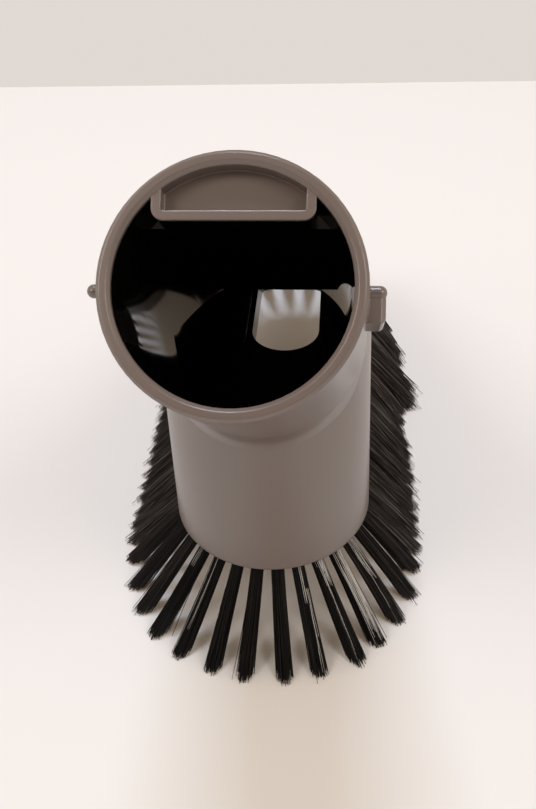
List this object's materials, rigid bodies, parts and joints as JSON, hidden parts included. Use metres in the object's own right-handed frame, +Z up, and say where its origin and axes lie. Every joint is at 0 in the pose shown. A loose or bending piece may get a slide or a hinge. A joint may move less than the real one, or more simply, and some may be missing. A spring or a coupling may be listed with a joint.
{
  "type": "vacuum dusting brush",
  "caption": "Vacuum dusting brush: slanted keyed neck on a long drafted head, with splayed bristle tufts round a suction window.",
  "frame": {"origin": "on the table under the middle of the whole brush, level with the trimmed bristle tips", "axes": "+Z up, +Y from the mouth towards the head's far end, +X to the right seen from the mouth"},
  "size_m": [0.0776, 0.1796, 0.1217],
  "materials": {
    "housing_plastic": "satin moulded, warm grey",
    "liner_plastic": "gloss moulded, black",
    "carrier_plastic": "satin moulded, black",
    "bristle": "nylon filament, black",
    "anchor_wire": "flat wire"
  },
  "bodies": {
    "root": {"housing": "housing_plastic", "duct_liner": "liner_plastic", "bristle_carrier": "carrier_plastic", "tuft_anchors": "anchor_wire", "near_tuft_1": "bristle", "near_tuft_2": "bristle", "near_tuft_3": "bristle", "near_tuft_4": "bristle", "near_tuft_5": "bristle", "near_tuft_6": "bristle", "near_tuft_7": "bristle", "near_tuft_8": "bristle", "near_tuft_9": "bristle", "near_tuft_10": "bristle", "near_tuft_11": "bristle", "near_tuft_12": "bristle", "near_tuft_13": "bristle", "near_tuft_14": "bristle", "far_tuft_1": "bristle", "far_tuft_2": "bristle", "far_tuft_3": "bristle", "far_tuft_4": "bristle", "far_tuft_5": "bristle", "far_tuft_6": "bristle", "far_tuft_7": "bristle", "far_tuft_8": "bristle", "far_tuft_9": "bristle", "far_tuft_10": "bristle", "far_tuft_11": "bristle", "far_tuft_12": "bristle", "far_tuft_13": "bristle", "far_tuft_14": "bristle", "left_tufts_1": "bristle", "left_tufts_2": "bristle", "left_tufts_3": "bristle", "left_tufts_4": "bristle", "left_tufts_5": "bristle", "left_tufts_6": "bristle", "right_tufts_1": "bristle", "right_tufts_2": "bristle", "right_tufts_3": "bristle", "right_tufts_4": "bristle", "right_tufts_5": "bristle", "right_tufts_6": "bristle"}
  },
  "joints": []
}
